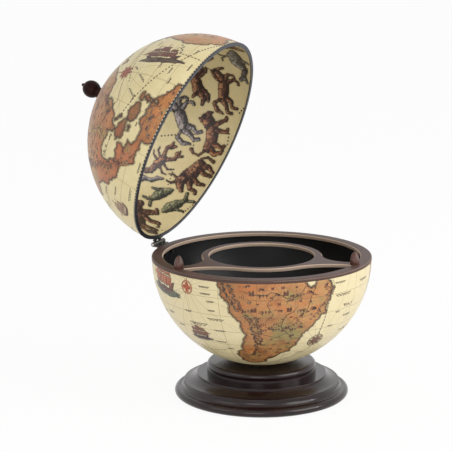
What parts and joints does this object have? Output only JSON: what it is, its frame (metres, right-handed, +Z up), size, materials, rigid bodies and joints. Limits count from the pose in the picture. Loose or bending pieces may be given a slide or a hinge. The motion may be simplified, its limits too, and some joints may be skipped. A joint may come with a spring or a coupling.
{
  "type": "tabletop globe bar",
  "caption": "Globe bar: map sphere on a turned wooden base, its upper half hinged open as a lid over a tray board with a bottle well and glass spaces.",
  "frame": {"origin": "centre of the felt's underside, on the axis of the turned base", "axes": "+Z up along the base's axis; hinge at +Y with its axis along X; lid modelled open"},
  "size_m": [0.33, 0.4677, 0.5425],
  "materials": {
    "felt": "dark felt",
    "dark_wood": "dark mahogany stain under satin gloss lacquer",
    "tray_wood": "dark brown stain under gloss lacquer",
    "plain_wood": "bare",
    "moulded_shell": "moulded, covered",
    "black_liner": "black satin",
    "printed_paper": "varnished print",
    "rim_edging": "dark edging",
    "bronzed_brass": "bronzed",
    "bright_steel": "bright",
    "zinc_steel": "zinc plated"
  },
  "bodies": {
    "stand": {"base_felt": "felt", "base_plinth": "dark_wood", "base_tier": "dark_wood", "base_collar": "dark_wood", "base_screws": "zinc_steel", "bowl_shell": "moulded_shell", "bowl_map": "printed_paper", "bowl_liner": "black_liner", "bowl_floor": "black_liner", "saddle_block": "plain_wood", "clamp_washer": "zinc_steel", "clamp_nut": "zinc_steel", "clamp_bolt": "zinc_steel", "tray_board": "tray_wood", "tray_dowels": "plain_wood", "guide_peg_left": "dark_wood", "guide_peg_right": "dark_wood", "hinge_lower_leaf": "bronzed_brass", "hinge_pin": "bright_steel", "hinge_lower_screws": "bronzed_brass", "hinge_lower_nuts": "bright_steel"},
    "lid": {"hinge_upper_leaf": "bronzed_brass", "hinge_upper_screws": "bronzed_brass", "hinge_upper_nuts": "bright_steel", "lid_shell": "moulded_shell", "lid_map": "printed_paper", "lid_lining": "printed_paper", "lid_rim_band": "rim_edging", "finial_collar": "dark_wood", "finial_knob": "dark_wood", "finial_washer": "bright_steel", "finial_screw": "bright_steel"}
  },
  "joints": [
    {"name": "lid_hinge", "type": "hinge", "parent": "stand", "child": "lid", "pos_m": [0, 0.1737, 0.2185], "axis": [1, 0, 0], "range_deg": [0, 68.5]}
  ]
}
